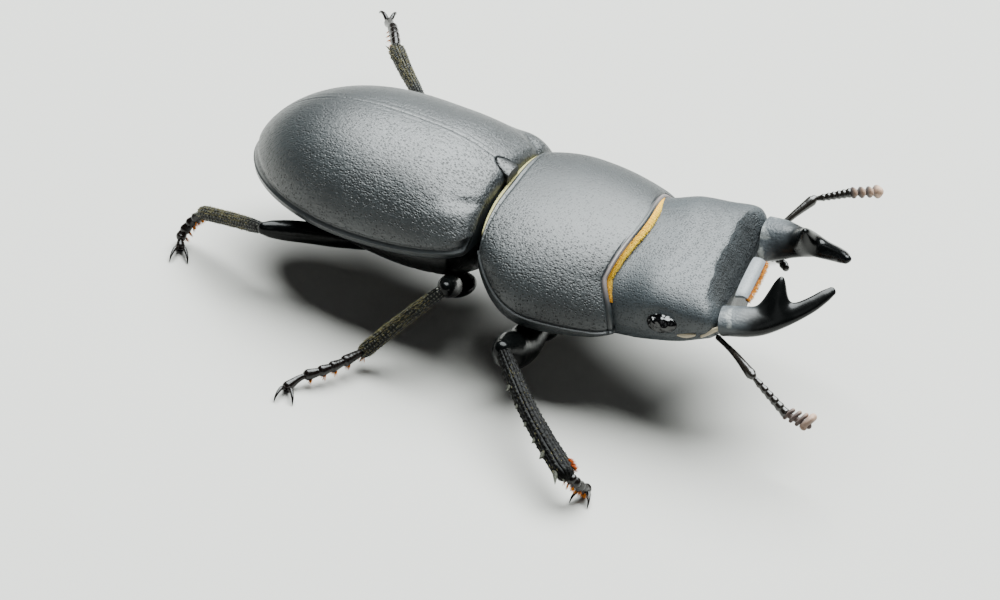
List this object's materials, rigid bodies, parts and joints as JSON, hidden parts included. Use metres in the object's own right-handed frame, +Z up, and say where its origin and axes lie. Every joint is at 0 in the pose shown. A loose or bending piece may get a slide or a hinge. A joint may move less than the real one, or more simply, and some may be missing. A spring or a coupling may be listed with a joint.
{
  "type": "lesser stag beetle",
  "caption": "Life-size adult male lesser stag beetle, standing with toothed jaws open, elbowed feelers spread and one hind leg stretched out in mid step.",
  "frame": {"origin": "centre of the bounding box, on the floor that the feet stand on", "axes": "+X forward to the jaws, +Y to the beetle's left, +Z up"},
  "size_m": [0.0294, 0.0258, 0.008],
  "materials": {
    "wing_case_chitin": "satin charcoal shell with faint rows of fine pits",
    "pronotum_chitin": "satin charcoal shell with very fine pits and a smooth raised rim",
    "head_chitin": "satin charcoal shell, finely pitted, duller in the hollow of the brow",
    "eye": "polished black",
    "lip_plate": "pale grey horn with a golden hair edge",
    "jaw_chitin": "dull grey at the base, polished black toward the tip",
    "feeler_chitin": "polished blackish brown",
    "feeler_club": "velvety brown",
    "belly_chitin": "glossy black with fine pits",
    "leg_chitin": "glossy black",
    "shin_chitin": "black and grainy, with short brownish bristles",
    "foot_chitin": "glossy black brown with orange bristles underneath",
    "claw_chitin": "polished dark brown"
  },
  "bodies": {
    "root": {"scutellum": "wing_case_chitin", "elytron_left": "wing_case_chitin", "elytron_right": "wing_case_chitin", "thorax_underside": "belly_chitin", "abdomen": "belly_chitin", "prothorax": "pronotum_chitin", "head": "head_chitin", "eye_left": "eye", "eye_right": "eye", "labrum": "lip_plate", "mandible_left": "jaw_chitin", "mandible_right": "jaw_chitin", "antenna_left_scape": "feeler_chitin", "antenna_left_funicle": "feeler_chitin", "antenna_left_club": "feeler_club", "antenna_right_scape": "feeler_chitin", "antenna_right_funicle": "feeler_chitin", "antenna_right_club": "feeler_club", "palp_left": "feeler_chitin", "palp_right": "feeler_chitin", "mentum": "belly_chitin", "leg_front_right_coxa": "leg_chitin", "leg_front_right_femur": "leg_chitin", "leg_front_right_tibia": "shin_chitin", "leg_front_right_tarsus": "foot_chitin", "leg_front_right_claws": "claw_chitin", "leg_mid_right_coxa": "leg_chitin", "leg_mid_right_femur": "leg_chitin", "leg_mid_right_tibia": "shin_chitin", "leg_mid_right_tarsus": "foot_chitin", "leg_mid_right_claws": "claw_chitin", "leg_hind_right_coxa": "leg_chitin", "leg_hind_right_femur": "leg_chitin", "leg_hind_right_tibia": "shin_chitin", "leg_hind_right_tarsus": "foot_chitin", "leg_hind_right_claws": "claw_chitin", "leg_front_left_coxa": "leg_chitin", "leg_front_left_femur": "leg_chitin", "leg_front_left_tibia": "shin_chitin", "leg_front_left_tarsus": "foot_chitin", "leg_front_left_claws": "claw_chitin", "leg_mid_left_coxa": "leg_chitin", "leg_mid_left_femur": "leg_chitin", "leg_mid_left_tibia": "shin_chitin", "leg_mid_left_tarsus": "foot_chitin", "leg_mid_left_claws": "claw_chitin", "leg_hind_left_coxa": "leg_chitin", "leg_hind_left_femur": "leg_chitin", "leg_hind_left_tibia": "shin_chitin", "leg_hind_left_tarsus": "foot_chitin", "leg_hind_left_claws": "claw_chitin"}
  },
  "joints": []
}
